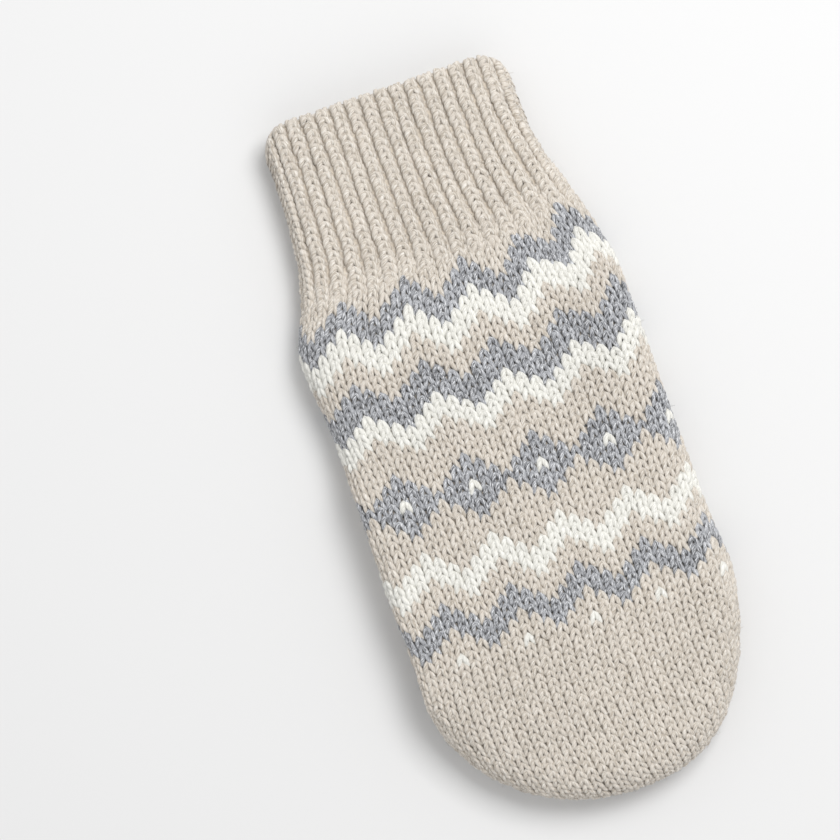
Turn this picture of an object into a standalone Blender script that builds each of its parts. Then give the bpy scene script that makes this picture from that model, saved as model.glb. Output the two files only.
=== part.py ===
"""A knitted mitten for the left hand, lying palm down with its thumb folded under the palm.

It is a knitted bag in four parts: a ribbed cuff, a hand, the fingers, and a thumb that opens into them.
Run it with blender --background --python part.py, or from Blender's text editor.
Metres. The fingers point along -Y, the back of the hand faces +Z, and the mitten lies on z = 0.
"""

import math
from collections import namedtuple

import bmesh
import bpy
import numpy as np

# Driving dimensions of the hand
HAND_WIDTH = 0.115
HAND_LENGTH = 0.1945
HAND_THICKNESS = 0.022
HAND_CROWN = 0.0025
TIP_LENGTH = 0.0653
FINGERS_START = 0.0465

# Driving dimensions of the cuff
CUFF_WIDTH = 0.090
CUFF_LENGTH = 0.0645
CUFF_THICKNESS = 0.019
RIM_DROP = 0.010
RIM_CORNER = 0.012
RIB_COUNT = 36
RIB_DEPTH = 0.0014
RIB_FADE = 0.012

# Driving dimensions of the thumb
THUMB_WIDTH = 0.047
THUMB_LENGTH = 0.084
THUMB_THICKNESS = 0.013
THUMB_START = 0.052
THUMB_INSET = 0.0015
THUMB_TIP_LENGTH = 0.030

# Knitted walls, and the gaps where two parts meet
HAND_WALL = 0.0034
CUFF_WALL = 0.0030
THUMB_WALL = 0.0032
SEAM_GAP = 0.0003
THUMB_CLEARANCE = 0.0003

# How the hand drapes over the folded thumb: steeply at the palm, and gently at the back
SLIT_RISE = 0.014
DRAPE_SIDE = 0.020
DRAPE_TIP = 0.024
DRAPE_MARGIN = 0.003
BACK_LIFT = 0.0045
BACK_EASE = 0.026

# Fineness of the faceted surfaces
HAND_STRIPS = 24
THUMB_STRIPS = 12
POINTS_PER_RIB = 4
CUFF_ROWS = 6
OUTLINE_STEPS = 160

# The outline bows like a superellipse at each rounded end
TIP_BOW = 2.2
THUMB_TAPER = 0.07
LAST_RING = 0.0002

# Half widths go from the cuff's (spread 0) to the hand's (spread 1); along is a share of the part's length
Station = namedtuple("Station", "along spread")
CUFF_STATIONS = (
    Station(along=0.00, spread=0.00),
    Station(along=0.16, spread=0.00),
    Station(along=0.46, spread=0.06),
    Station(along=0.75, spread=0.28),
    Station(along=0.90, spread=0.48),
    Station(along=1.00, spread=0.64),
)
HAND_STATIONS = (
    Station(along=0.00, spread=0.64),
    Station(along=0.05, spread=0.81),
    Station(along=0.10, spread=0.98),
    Station(along=0.16, spread=1.04),
    Station(along=0.33, spread=0.98),
    Station(along=0.55, spread=0.98),
    Station(along=0.85, spread=1.01),
    Station(along=1.00, spread=1.04),
)

# The middle line wanders sideways by shares of the hand's width; along is a share of the whole length
Lean = namedtuple("Lean", "along shift")
LEANS = (
    Lean(along=0.00, shift=-0.028),
    Lean(along=0.12, shift=-0.025),
    Lean(along=0.21, shift=-0.013),
    Lean(along=0.30, shift=-0.018),
    Lean(along=0.42, shift=-0.006),
    Lean(along=0.55, shift=-0.002),
    Lean(along=0.67, shift=0.000),
    Lean(along=0.73, shift=0.007),
    Lean(along=0.81, shift=-0.006),
    Lean(along=0.86, shift=-0.008),
    Lean(along=0.92, shift=0.002),
    Lean(along=0.96, shift=0.014),
    Lean(along=1.00, shift=0.033),
)

Finish = namedtuple("Finish", "name colour roughness")
CUFF_FINISH = Finish("ribbed_oatmeal_yarn", (0.63, 0.56, 0.49, 1), 0.9)
HAND_FINISH = Finish("zigzag_oatmeal_yarn", (0.63, 0.56, 0.49, 1), 0.9)
FINGERS_FINISH = Finish("patterned_oatmeal_yarn", (0.63, 0.56, 0.49, 1), 0.9)
THUMB_FINISH = Finish("oatmeal_yarn", (0.65, 0.58, 0.51, 1), 0.9)

MITTEN_LENGTH = CUFF_LENGTH + HAND_LENGTH
RIM_Y = MITTEN_LENGTH / 2
JOIN_Y = RIM_Y - CUFF_LENGTH
TIP_Y = JOIN_Y - HAND_LENGTH
TIP_START_Y = TIP_Y + TIP_LENGTH
FINGERS_Y = JOIN_Y - FINGERS_START
SLIT_Y = JOIN_Y - THUMB_START
THUMB_TIP_Y = SLIT_Y - THUMB_LENGTH


def smooth_step(start, end, value):
    """0 at start and 1 at end, with a soft beginning and end."""
    t = min(1.0, max(0.0, (value - start) / (end - start)))
    return t * t * (3 - 2 * t)


def smooth_between(rows, at):
    """The second column of a table at a value of its first, on a smooth curve through the rows."""
    at = min(rows[-1][0], max(rows[0][0], at))
    i = next(i for i in range(len(rows) - 1) if at <= rows[i + 1][0])

    def slope(k):
        low, high = rows[max(0, k - 1)], rows[min(len(rows) - 1, k + 1)]
        return (high[1] - low[1]) / (high[0] - low[0])

    span = rows[i + 1][0] - rows[i][0]
    t = (at - rows[i][0]) / span
    return (
        rows[i][1] * (2 * t**3 - 3 * t**2 + 1)
        + slope(i) * span * (t**3 - 2 * t**2 + t)
        + rows[i + 1][1] * (3 * t**2 - 2 * t**3)
        + slope(i + 1) * span * (t**3 - t**2)
    )


def rounded_end(distance, length):
    """Share of the full width left near a rounded end, 0 at the end itself."""
    t = 1 - min(1.0, max(0.0, distance) / length)
    return (1 - t**TIP_BOW) ** (1 / TIP_BOW)


def half_width(y, inset=0.0):
    """Half the mitten's width at a place along it, to its outer face or to one inset from it."""
    if y > JOIN_Y:
        spread = smooth_between(CUFF_STATIONS, (RIM_Y - y) / CUFF_LENGTH)
    else:
        straight = max(y, TIP_START_Y)
        spread = smooth_between(HAND_STATIONS, (JOIN_Y - straight) / (HAND_LENGTH - TIP_LENGTH))
    full = CUFF_WIDTH / 2 + spread * (HAND_WIDTH - CUFF_WIDTH) / 2 - inset
    return full * rounded_end(y - TIP_Y - inset, TIP_LENGTH - inset)


def lean(y):
    """Sideways place of the middle line, before the mitten is centred on x = 0."""
    return HAND_WIDTH * smooth_between(LEANS, (RIM_Y - y) / MITTEN_LENGTH)


def outline_ys(start, end, tip_length):
    """Places from a part's mouth to its rounded tip, closer together at the tip."""
    tip_start = end + tip_length
    straight = [start + (tip_start - start) * i / OUTLINE_STEPS for i in range(OUTLINE_STEPS)]
    tip = [end + tip_length * (1 - i / OUTLINE_STEPS) ** 2 for i in range(OUTLINE_STEPS + 1)]
    return straight + tip


def side_lines(inset=0.0):
    """The mitten's left and right edges in plan, before it is centred."""
    ys = outline_ys(RIM_Y, TIP_Y + inset, TIP_LENGTH - inset)
    left = [(lean(y) - half_width(y, inset), y) for y in ys]
    right = [(lean(y) + half_width(y, inset), y) for y in ys]
    return left, right


LEFT_SIDE, RIGHT_SIDE = side_lines()
CENTRING = -(min(x for x, y in LEFT_SIDE) + max(x for x, y in RIGHT_SIDE)) / 2


def middle(y):
    """Sideways place of the mitten's middle line."""
    return lean(y) + CENTRING


def hand_outline(inset):
    """The mitten's edge in plan, down its left side and up its right side."""
    left, right = side_lines(inset)
    return np.array([(x + CENTRING, y) for x, y in left + right[::-1]])


def thickness(y):
    """Thickness of the mitten, from the cuff's to the hand's."""
    full = smooth_step(JOIN_Y + RIB_FADE, JOIN_Y - THUMB_START / 2, y)
    return CUFF_THICKNESS + full * (HAND_THICKNESS - CUFF_THICKNESS)


def depth_inside(x, y, outline):
    """Distance from a point of the plan to the outline around it."""
    steps = np.diff(outline, axis=0)
    lengths = np.maximum((steps**2).sum(axis=1), 1e-18)
    share = np.clip((((x, y) - outline[:-1]) * steps).sum(axis=1) / lengths, 0, 1)
    nearest = outline[:-1] + share[:, None] * steps
    return float(np.hypot(nearest[:, 0] - x, nearest[:, 1] - y).min())


def edge_round(depth, radius):
    """Half thickness at a depth inside the outline of a part whose edge is a half circle."""
    short = 1 - min(1.0, max(0.0, depth) / radius)
    return radius * math.sqrt(1 - short * short)


THUMB_LEFT = middle(SLIT_Y - THUMB_LENGTH / 2) - HAND_WIDTH / 2 + THUMB_INSET
THUMB_MIDDLE = THUMB_LEFT + THUMB_WIDTH / 2
THUMB_RIGHT = THUMB_LEFT + THUMB_WIDTH


def drape(x, y, ease):
    """1 over the folded thumb and 0 away from it at a point of the plan; ease widens the slopes."""
    tip_y = THUMB_TIP_Y - DRAPE_MARGIN
    side_x = THUMB_RIGHT + DRAPE_MARGIN
    beyond_slit = smooth_step(SLIT_Y + ease, SLIT_Y - SLIT_RISE - ease, y)
    before_tip = 1 - smooth_step(tip_y + ease, tip_y - DRAPE_TIP - ease, y)
    beside = 1 - smooth_step(side_x - ease, side_x + DRAPE_SIDE + ease, x)
    return beyond_slit * before_tip * beside


def palm_height(x, y):
    """Height of the palm above the floor at a point of the plan."""
    return (THUMB_THICKNESS + 2 * THUMB_CLEARANCE) * drape(x, y, 0)


def crown(x, y):
    """How far the back of the hand bulges up at a point of the plan."""
    inside = 1 - min(1.0, abs(x - middle(y)) / (HAND_WIDTH / 2)) ** 2
    return HAND_CROWN * inside * smooth_step(RIM_Y, SLIT_Y, y)


def back_height(x, y):
    """Height of the back of the hand above the floor at a point of the plan."""
    return thickness(y) + crown(x, y) + BACK_LIFT * drape(x, y, BACK_EASE)


def bag_rings(ys, inset):
    """Sections of the mitten's body below the cuff, each across the back and then the palm."""
    outline = hand_outline(inset)
    rings = []
    for y in ys:
        reach = half_width(y, inset)
        ring = []
        for i in range(2 * HAND_STRIPS):
            turn = math.pi * i / HAND_STRIPS
            x = middle(y) - reach * math.cos(turn)
            depth = depth_inside(x, y, outline) if i % HAND_STRIPS else 0.0
            low, high = palm_height(x, y), back_height(x, y)
            side = 1 if i < HAND_STRIPS else -1
            half = edge_round(depth, (high - low) / 2 - inset)
            ring.append((x, y, (low + high) / 2 + side * half))
        rings.append(ring)
    return rings


def hand_rings(inset=0.0):
    """Even sections of the hand, from the cuff to where the fingers start."""
    start, end = JOIN_Y - SEAM_GAP / 2, FINGERS_Y + SEAM_GAP / 2
    return bag_rings([start + (end - start) * i / 7 for i in range(8)], inset)


def finger_rings(inset=0.0):
    """Sections of the fingers' bag, closer on the slit's rise and at the tip."""
    mouth = FINGERS_Y - SEAM_GAP / 2
    rise = [SLIT_Y - SLIT_RISE * i / 4 for i in range(4)]
    palm_start = SLIT_Y - SLIT_RISE
    palm = [palm_start + (TIP_START_Y - palm_start) * i / 6 for i in range(6)]
    end = TIP_Y + inset + LAST_RING
    tip = [end + (TIP_START_Y - end) * (1 - i / 11) ** 1.8 for i in range(12)]
    return bag_rings([mouth] + rise + palm + tip, inset)


def new_object(name, mesh, collection):
    """An object for a mesh, placed in a collection."""
    made = bpy.data.objects.new(name, mesh)
    collection.objects.link(made)
    return made


def loop_of(bm, ring):
    """The corners of one section, added to a mesh."""
    return [bm.verts.new(point) for point in ring]


def skin(bm, here, beyond):
    """A band of faces between two sections with the same number of corners."""
    for i in range(len(here)):
        j = (i + 1) % len(here)
        bm.faces.new((here[i], here[j], beyond[j], beyond[i]))


def finished_mesh(bm, name):
    """Turns the faces outwards and hands over the mesh."""
    bmesh.ops.recalc_face_normals(bm, faces=bm.faces)
    mesh = bpy.data.meshes.new(name)
    bm.to_mesh(mesh)
    bm.free()
    return mesh


def solid_mesh(name, rings):
    """A closed body through sections, with flat ends."""
    bm = bmesh.new()
    loops = [loop_of(bm, ring) for ring in rings]
    for here, beyond in zip(loops, loops[1:]):
        skin(bm, here, beyond)
    bm.faces.new(loops[0])
    bm.faces.new(loops[-1])
    return finished_mesh(bm, name)


def walled_mesh(name, outer, inner, closed_end):
    """A hollow body between an outer and an inner skin, open at its first section."""
    bm = bmesh.new()
    outer_loops = [loop_of(bm, ring) for ring in outer]
    inner_loops = [loop_of(bm, ring) for ring in inner]
    for loops in (outer_loops, inner_loops):
        for here, beyond in zip(loops, loops[1:]):
            skin(bm, here, beyond)
    skin(bm, outer_loops[0], inner_loops[0])
    if closed_end:
        bm.faces.new(outer_loops[-1])
        bm.faces.new(inner_loops[-1])
    else:
        skin(bm, outer_loops[-1], inner_loops[-1])
    return finished_mesh(bm, name)


def add_cut(thing, cutter):
    """Takes a cutter's shape out of a part."""
    cut = thing.modifiers.new("cut_" + cutter.name, "BOOLEAN")
    cut.operation = "DIFFERENCE"
    cut.solver = "EXACT"
    cut.object = cutter


def make_cutter(name, mesh, collection):
    """A hidden guide that other parts are cut by."""
    cutter = new_object(name, mesh, collection)
    cutter.hide_render = True
    cutter.display_type = "WIRE"
    return cutter


def box_mesh(name, low, high):
    """A box between two corners."""
    mesh = bpy.data.meshes.new(name)
    bm = bmesh.new()
    bmesh.ops.create_cube(bm, size=1)
    for v in bm.verts:
        v.co = [low[k] + (high[k] - low[k]) * (v.co[k] + 0.5) for k in range(3)]
    bm.to_mesh(mesh)
    bm.free()
    return mesh


def finish(thing, look):
    """Gives a part its yarn's colour, and smooth shading."""
    material = bpy.data.materials.new(look.name)
    material.use_nodes = True
    shader = material.node_tree.nodes["Principled BSDF"]
    shader.inputs["Base Color"].default_value = look.colour
    shader.inputs["Roughness"].default_value = look.roughness
    shader.inputs["Metallic"].default_value = 0
    thing.data.materials.append(material)
    thing.data.shade_smooth()


def stadium_point(share, half_across, radius):
    """A point and its outward direction on a flattened tube, from the left edge over the back."""
    straight = 2 * (half_across - radius)
    arc = math.pi * radius
    run = (share % 1.0) * 2 * (straight + arc)
    run = (run + arc / 2) % (2 * (straight + arc))
    if run < arc:
        turn = run / radius
        return (-straight / 2 - radius * math.sin(turn), -radius * math.cos(turn)), (
            -math.sin(turn),
            -math.cos(turn),
        )
    if run < arc + straight:
        return (-straight / 2 + run - arc, radius), (0.0, 1.0)
    if run < 2 * arc + straight:
        turn = (run - arc - straight) / radius
        return (straight / 2 + radius * math.sin(turn), radius * math.cos(turn)), (
            math.sin(turn),
            math.cos(turn),
        )
    return (straight / 2 - (run - 2 * arc - straight), -radius), (0.0, -1.0)


def rim_drop(x, y):
    """How far the rim's rounded corners hang back from its middle at a point of the plan."""
    out = min(1.0, max(0.0, abs(x - middle(y)) - half_width(y) + RIM_CORNER) / RIM_CORNER)
    fading = 1 - smooth_step(RIM_Y, JOIN_Y, y)
    return RIM_DROP * (1 - math.sqrt(1 - out * out)) * fading


def cuff_rings(inset=0.0):
    """Sections of the cuff from the rim down; the outer face has a furrow between every two ribs."""
    rings = []
    count = RIB_COUNT * POINTS_PER_RIB
    end = JOIN_Y + SEAM_GAP / 2
    for row in range(CUFF_ROWS + 1):
        y = RIM_Y + (end - RIM_Y) * row / CUFF_ROWS
        radius = thickness(y) / 2
        fading = smooth_step(JOIN_Y, JOIN_Y + RIB_FADE, y)
        ring = []
        for i in range(count):
            (x, z), (out_x, out_z) = stadium_point(i / count, half_width(y), radius)
            furrow = (1 - math.cos(2 * math.pi * i / POINTS_PER_RIB)) / 2
            depth = inset or RIB_DEPTH * furrow * fading
            drop = rim_drop(x + middle(y), y)
            x += middle(y) - out_x * depth
            z += radius - out_z * depth
            ring.append((x, y - drop, z * (1 + crown(x, y) / thickness(y))))
        rings.append(ring)
    return rings


def build_cuff(parts):
    """The ribbed cuff, from its rim to where the plain knitting starts."""
    mesh = walled_mesh("cuff", cuff_rings(), cuff_rings(inset=CUFF_WALL), closed_end=False)
    finish(new_object("cuff", mesh, parts), CUFF_FINISH)


def thumb_half_width(y, inset):
    """Half the thumb's width at a place along it, inset from its outer face."""
    along = (SLIT_Y - y) / THUMB_LENGTH
    taper = 1 - THUMB_TAPER * smooth_step(0, 1, along)
    end = y - THUMB_TIP_Y - inset
    return (THUMB_WIDTH / 2 * taper - inset) * rounded_end(end, THUMB_TIP_LENGTH - inset)


def thumb_rings(start_y, inset=0.0):
    """Sections of the thumb's outer face, or of one that is inset from it."""
    end = THUMB_TIP_Y + inset
    tip_start = THUMB_TIP_Y + THUMB_TIP_LENGTH
    edge_ys = outline_ys(start_y, end, THUMB_TIP_LENGTH - inset)
    left = [(THUMB_MIDDLE - thumb_half_width(y, inset), y) for y in edge_ys]
    right = [(THUMB_MIDDLE + thumb_half_width(y, inset), y) for y in edge_ys]
    outline = np.array(left + right[::-1])
    straight = [start_y + (tip_start - start_y) * i / 5 for i in range(5)]
    last = end + LAST_RING
    tip = [last + (tip_start - last) * (1 - i / 7) ** 1.8 for i in range(8)]
    radius = THUMB_THICKNESS / 2
    rings = []
    for y in straight + tip:
        ring = []
        for i in range(2 * THUMB_STRIPS):
            turn = math.pi * i / THUMB_STRIPS
            x = THUMB_MIDDLE - thumb_half_width(y, inset) * math.cos(turn)
            depth = depth_inside(x, y, outline) if i % THUMB_STRIPS else 0.0
            side = 1 if i < THUMB_STRIPS else -1
            ring.append((x, y, radius + side * edge_round(depth, radius - inset)))
        rings.append(ring)
    return rings


def build_hand(parts):
    """The hand: a tube between the cuff and the fingers."""
    mesh = walled_mesh("hand", hand_rings(), hand_rings(inset=HAND_WALL), closed_end=False)
    finish(new_object("hand", mesh, parts), HAND_FINISH)


def build_fingers(parts, cutters):
    """The fingers: a bag that is open to the hand, with a slit in its palm for the thumb."""
    mesh = walled_mesh("fingers", finger_rings(), finger_rings(inset=HAND_WALL), closed_end=True)
    fingers = new_object("fingers", mesh, parts)
    slit_rings = thumb_rings(SLIT_Y + HAND_WALL, inset=THUMB_WALL + THUMB_CLEARANCE)
    slit = make_cutter("thumb_slit", solid_mesh("thumb_slit", slit_rings), cutters)
    add_cut(fingers, slit)
    finish(fingers, FINGERS_FINISH)


def build_thumb(parts, cutters):
    """The thumb: a bag whose mouth meets the slope of the palm around the slit."""
    outer = thumb_rings(SLIT_Y)
    inner = thumb_rings(SLIT_Y, inset=THUMB_WALL)
    thumb = new_object("thumb", walled_mesh("thumb", outer, inner, closed_end=True), parts)
    low = (-HAND_WIDTH, SLIT_Y - THUMB_WALL, -HAND_WIDTH)
    high = (HAND_WIDTH, SLIT_Y + HAND_WIDTH, HAND_WIDTH)
    add_cut(thumb, make_cutter("above_thumb", box_mesh("above_thumb", low, high), cutters))
    body = solid_mesh("palm_body", finger_rings(inset=-THUMB_CLEARANCE))
    add_cut(thumb, make_cutter("palm_body", body, cutters))
    finish(thumb, THUMB_FINISH)


def main():
    """Empties the scene and builds the mitten."""
    for thing in list(bpy.data.objects):
        bpy.data.objects.remove(thing)
    parts = bpy.data.collections.new("knitted_mitten")
    cutters = bpy.data.collections.new("cutters")
    bpy.context.scene.collection.children.link(parts)
    bpy.context.scene.collection.children.link(cutters)
    build_cuff(parts)
    build_hand(parts)
    build_fingers(parts, cutters)
    build_thumb(parts, cutters)


main()
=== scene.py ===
"""The knitted mitten's looks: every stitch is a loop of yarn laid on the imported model's surface."""

import copy
import math
from collections import namedtuple

import bpy
import numpy as np
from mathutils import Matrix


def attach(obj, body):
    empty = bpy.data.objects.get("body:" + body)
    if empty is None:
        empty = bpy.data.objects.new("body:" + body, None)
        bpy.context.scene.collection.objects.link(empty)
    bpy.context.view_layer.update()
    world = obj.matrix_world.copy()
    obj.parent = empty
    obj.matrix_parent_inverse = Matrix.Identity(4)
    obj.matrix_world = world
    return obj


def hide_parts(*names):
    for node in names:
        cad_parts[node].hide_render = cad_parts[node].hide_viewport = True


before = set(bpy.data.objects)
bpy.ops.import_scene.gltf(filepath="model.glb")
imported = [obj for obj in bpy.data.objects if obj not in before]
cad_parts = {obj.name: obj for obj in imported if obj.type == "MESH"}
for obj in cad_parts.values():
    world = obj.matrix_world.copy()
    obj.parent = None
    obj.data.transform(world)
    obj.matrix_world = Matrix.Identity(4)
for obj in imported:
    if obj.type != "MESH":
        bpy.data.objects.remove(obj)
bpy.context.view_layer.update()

# The mitten's shape, in metres, as in the model
HAND_WIDTH = 0.115
HAND_LENGTH = 0.1945
HAND_THICKNESS = 0.022
HAND_CROWN = 0.0025
TIP_LENGTH = 0.0653
FINGERS_START = 0.0465
CUFF_WIDTH = 0.090
CUFF_LENGTH = 0.0645
CUFF_THICKNESS = 0.019
RIM_DROP = 0.010
RIM_CORNER = 0.012
RIB_COUNT = 36
RIB_FADE = 0.012
THUMB_WIDTH = 0.047
THUMB_LENGTH = 0.084
THUMB_THICKNESS = 0.013
THUMB_START = 0.052
THUMB_INSET = 0.0015
THUMB_TIP_LENGTH = 0.030
THUMB_TAPER = 0.07
THUMB_CLEARANCE = 0.0003
SLIT_RISE = 0.014
DRAPE_SIDE = 0.020
DRAPE_TIP = 0.024
DRAPE_MARGIN = 0.003
BACK_LIFT = 0.0045
BACK_EASE = 0.026
TIP_BOW = 2.2

# Share of the way from the cuff's width to the hand's, by share of the cuff's length from the rim, and
# by share of the hand's straight length from the join
CUFF_SPREAD = ((0.00, 0.00), (0.16, 0.00), (0.46, 0.06), (0.75, 0.28), (0.90, 0.48), (1.00, 0.64))
HAND_SPREAD = (
    (0.00, 0.64), (0.05, 0.81), (0.10, 0.98), (0.16, 1.04),
    (0.33, 0.98), (0.55, 0.98), (0.85, 1.01), (1.00, 1.04),
)
# Shift of the middle, in hand widths, by share of the mitten's length from the rim
LEAN = (
    (0.00, -0.028), (0.12, -0.025), (0.21, -0.013), (0.30, -0.018), (0.42, -0.006),
    (0.55, -0.002), (0.67, 0.000), (0.73, 0.007), (0.81, -0.006), (0.86, -0.008),
    (0.92, 0.002), (0.96, 0.014), (1.00, 0.033),
)

# Places along the mitten
MITTEN_LENGTH = CUFF_LENGTH + HAND_LENGTH
RIM_Y = MITTEN_LENGTH / 2
JOIN_Y = RIM_Y - CUFF_LENGTH
TIP_Y = JOIN_Y - HAND_LENGTH
TIP_START_Y = TIP_Y + TIP_LENGTH
FINGERS_Y = JOIN_Y - FINGERS_START
SLIT_Y = JOIN_Y - THUMB_START
THUMB_TIP_Y = SLIT_Y - THUMB_LENGTH

# Gauge, in metres: widths of a column of stitches, heights of a row, and radii of the yarns
COLUMN = 0.00410
THUMB_COLUMN = 1.04 * COLUMN
ROW = 0.0031
PLAIN_ROW = 0.0028
RIB_ROW = 0.00262
YARN = 0.00086
RIB_YARN = 0.00112
PURL_YARN = 0.00095
RIM_YARN = 0.00098

# Stitches round the hand, on its back and round the thumb, and rows down to the plain tip
COLUMNS = 60
BACK_COLUMNS = 31
THUMB_COLUMNS = 24
PATTERN_ROWS = 43

# Places of the hand's first row, and of its bag's start, which is under the ribs
FIRST_ROW_Y = 0.0633
HAND_START_Y = 0.085

# Depths of the linings' outer and inner faces below the surface
LINING_OUTSIDE = 0.00168
LINING_INSIDE = 0.0030

# How far above the floor the lowest yarn is, and how near the tip a bag's last ring is
FLOOR_GAP = 0.0001
LAST_RING = 0.00002

# The coloured bands: rows of each yarn in a peak column, counted from the cuff
REPEAT = 6
PEAK_COLUMN = 2
ZIGZAG = (
    ("grey", 0, 2), ("white", 3, 5), ("grey", 9, 12), ("white", 13, 15),
    ("white", 30, 32), ("grey", 36, 38),
)
DIAMOND_ROW = 24
DIAMOND_REACH = 3
DOT_ROW = 42

random = np.random.default_rng(7)


# Surfaces


def smooth_step(start, end, value):
    """From 0 at the start to 1 at the end, level at both."""
    t = np.clip((np.asarray(value, float) - start) / (end - start), 0, 1)
    return t * t * (3 - 2 * t)


def smooth_between(rows, at):
    """A smooth curve through a table's rows of place and value."""
    xs, ys = np.array(rows).T
    at = np.clip(np.asarray(at, float), xs[0], xs[-1])
    last = len(xs) - 1
    low = np.maximum(np.arange(last + 1) - 1, 0)
    high = np.minimum(np.arange(last + 1) + 1, last)
    slopes = (ys[high] - ys[low]) / (xs[high] - xs[low])
    i = np.clip(np.searchsorted(xs, at) - 1, 0, last - 1)
    span = xs[i + 1] - xs[i]
    t = (at - xs[i]) / span
    return (
        ys[i] * (2 * t**3 - 3 * t**2 + 1)
        + slopes[i] * span * (t**3 - 2 * t**2 + t)
        + ys[i + 1] * (3 * t**2 - 2 * t**3)
        + slopes[i + 1] * span * (t**3 - t**2)
    )


def hump(start, full, fade, end, value):
    """From 0 at the start up to 1, and from the fade down to 0 at the end."""
    return smooth_step(start, full, value) * (1 - smooth_step(fade, end, value))


def unit(vectors):
    """Vectors of the same directions, with length 1."""
    return vectors / np.maximum(np.linalg.norm(vectors, axis=-1, keepdims=True), 1e-12)


def rounded_end(distance, length):
    """Share of the full width at a distance from a round end that is this long."""
    t = 1 - np.clip(distance / length, 0, 1)
    return (1 - t**TIP_BOW) ** (1 / TIP_BOW)


def half_width(y, inset=0.0):
    y = np.asarray(y, float)
    cuff = smooth_between(CUFF_SPREAD, (RIM_Y - y) / CUFF_LENGTH)
    straight = np.maximum(y, TIP_START_Y)
    hand = smooth_between(HAND_SPREAD, (JOIN_Y - straight) / (HAND_LENGTH - TIP_LENGTH))
    spread = np.where(y > JOIN_Y, cuff, hand)
    full = CUFF_WIDTH / 2 + spread * (HAND_WIDTH - CUFF_WIDTH) / 2 - inset
    return full * rounded_end(y - TIP_Y - inset, TIP_LENGTH - inset)


def lean(y):
    return HAND_WIDTH * smooth_between(LEAN, (RIM_Y - np.asarray(y, float)) / MITTEN_LENGTH)


# Steps along an outline's straight stretch, and along its round end
EDGE_STEPS = 200


def edge_ys(start, end, tip_length):
    """Places along an outline, closer and closer towards its tip."""
    tip_start = end + tip_length
    straight = np.linspace(start, tip_start, EDGE_STEPS, endpoint=False)
    return np.append(straight, end + tip_length * (1 - np.arange(EDGE_STEPS + 1) / EDGE_STEPS) ** 2)


OUTLINE_YS = edge_ys(RIM_Y, TIP_Y, TIP_LENGTH)
FURTHEST_LEFT = (lean(OUTLINE_YS) - half_width(OUTLINE_YS)).min()
FURTHEST_RIGHT = (lean(OUTLINE_YS) + half_width(OUTLINE_YS)).max()
CENTRING = -(FURTHEST_LEFT + FURTHEST_RIGHT) / 2


def middle(y):
    return lean(y) + CENTRING


THUMB_LEFT = middle(SLIT_Y - THUMB_LENGTH / 2) - HAND_WIDTH / 2 + THUMB_INSET
THUMB_MIDDLE = THUMB_LEFT + THUMB_WIDTH / 2
THUMB_RIGHT = THUMB_MIDDLE + THUMB_WIDTH / 2


def thickness(y):
    full = smooth_step(JOIN_Y + RIB_FADE, JOIN_Y - THUMB_START / 2, y)
    return CUFF_THICKNESS + full * (HAND_THICKNESS - CUFF_THICKNESS)


def drape(x, y, ease):
    """Share of the full rise over the folded thumb, from 0 beside it to 1 above it."""
    tip_y, side_x = THUMB_TIP_Y - DRAPE_MARGIN, THUMB_RIGHT + DRAPE_MARGIN
    beyond_slit = smooth_step(SLIT_Y + ease, SLIT_Y - SLIT_RISE - ease, y)
    before_tip = 1 - smooth_step(tip_y + ease, tip_y - DRAPE_TIP - ease, y)
    before_side = 1 - smooth_step(side_x - ease, side_x + DRAPE_SIDE + ease, x)
    return beyond_slit * before_tip * before_side


def palm_height(x, y):
    return (THUMB_THICKNESS + 2 * THUMB_CLEARANCE) * drape(x, y, 0)


def crown(x, y):
    inside = 1 - np.minimum(1, np.abs(x - middle(y)) / (HAND_WIDTH / 2)) ** 2
    return HAND_CROWN * inside * smooth_step(RIM_Y, SLIT_Y, y)


def back_height(x, y):
    return thickness(y) + crown(x, y) + BACK_LIFT * drape(x, y, BACK_EASE)


def on_floor(x, y):
    return 0 * x


def thumb_height(x, y):
    return 0 * x + THUMB_THICKNESS


def thumb_middle(y):
    return THUMB_MIDDLE


def thumb_half_width(y, inset=0.0):
    taper = 1 - THUMB_TAPER * smooth_step(0, 1, (SLIT_Y - y) / THUMB_LENGTH)
    end = rounded_end(y - THUMB_TIP_Y - inset, THUMB_TIP_LENGTH - inset)
    return (THUMB_WIDTH / 2 * taper - inset) * end


def outline_of(ys, centre, reach, inset):
    """The outline from above, down the left side and up the right one."""
    left = np.column_stack((centre(ys) - reach(ys, inset), ys))
    right = np.column_stack((centre(ys) + reach(ys, inset), ys))
    return np.vstack((left, right[::-1]))


def depth_inside(x, y, outline):
    """How far points of one row lie inside the outline."""
    start, step = outline[:-1], np.diff(outline, axis=0)
    length = np.maximum((step**2).sum(1), 1e-18)
    share = ((x[:, None] - start[:, 0]) * step[:, 0] + (y - start[:, 1]) * step[:, 1]) / length
    near = start + np.clip(share, 0, 1)[..., None] * step
    return np.hypot(near[..., 0] - x[:, None], near[..., 1] - y).min(1)


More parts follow.
